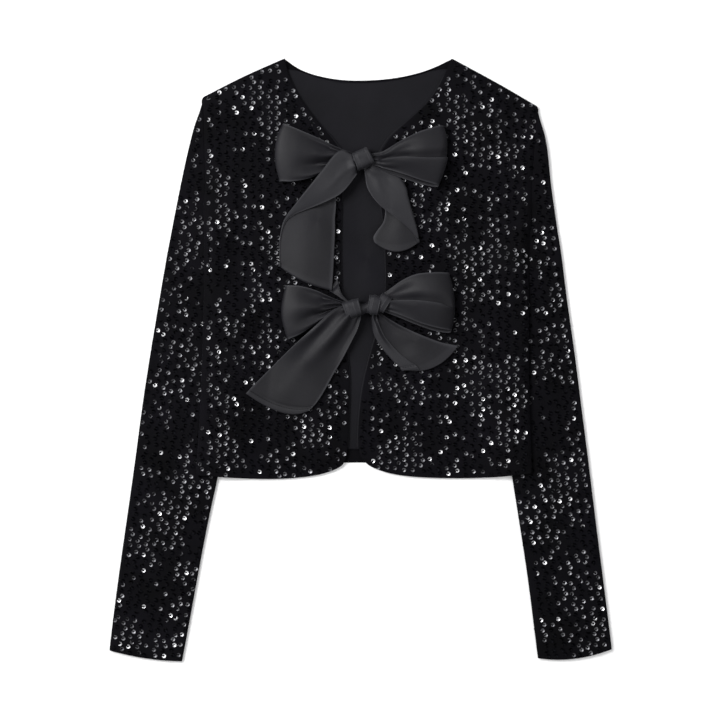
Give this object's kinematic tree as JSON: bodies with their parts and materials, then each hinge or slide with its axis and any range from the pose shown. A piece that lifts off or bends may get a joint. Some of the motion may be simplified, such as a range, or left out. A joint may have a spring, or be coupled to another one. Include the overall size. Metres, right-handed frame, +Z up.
{
  "type": "bolero jacket",
  "caption": "Cropped long-sleeved bolero jacket in sequined velvet, laid flat on its back, with a round neck and an open front held by wide satin ribbon bows.",
  "frame": {"origin": "on the table, under the middle of the laid-out jacket", "axes": "+X to the wearer's left, +Y from the hem towards the neck, +Z up from the table through the bows"},
  "size_m": [0.552, 0.6626, 0.0253],
  "materials": {
    "sequin_velvet": "black velvet sewn all over with small cupped sequins",
    "lining_satin": "smooth dull satin",
    "ribbon_satin": "soft satin ribbon"
  },
  "bodies": {
    "root": {"back": "sequin_velvet", "back_lining": "lining_satin", "front_right": "sequin_velvet", "front_left": "sequin_velvet", "facing_right": "lining_satin", "facing_left": "lining_satin", "sleeve_right": "sequin_velvet", "sleeve_left": "sequin_velvet", "upper_bow_knot": "ribbon_satin", "upper_bow_loop_right": "ribbon_satin", "upper_bow_loop_left": "ribbon_satin", "upper_bow_tail_right": "ribbon_satin", "upper_bow_tail_left": "ribbon_satin", "upper_bow_tie_right": "ribbon_satin", "upper_bow_tie_left": "ribbon_satin", "lower_bow_knot": "ribbon_satin", "lower_bow_loop_right": "ribbon_satin", "lower_bow_loop_left": "ribbon_satin", "lower_bow_tail_right": "ribbon_satin", "lower_bow_tail_left": "ribbon_satin", "lower_bow_tie_right": "ribbon_satin", "lower_bow_tie_left": "ribbon_satin"}
  },
  "joints": []
}
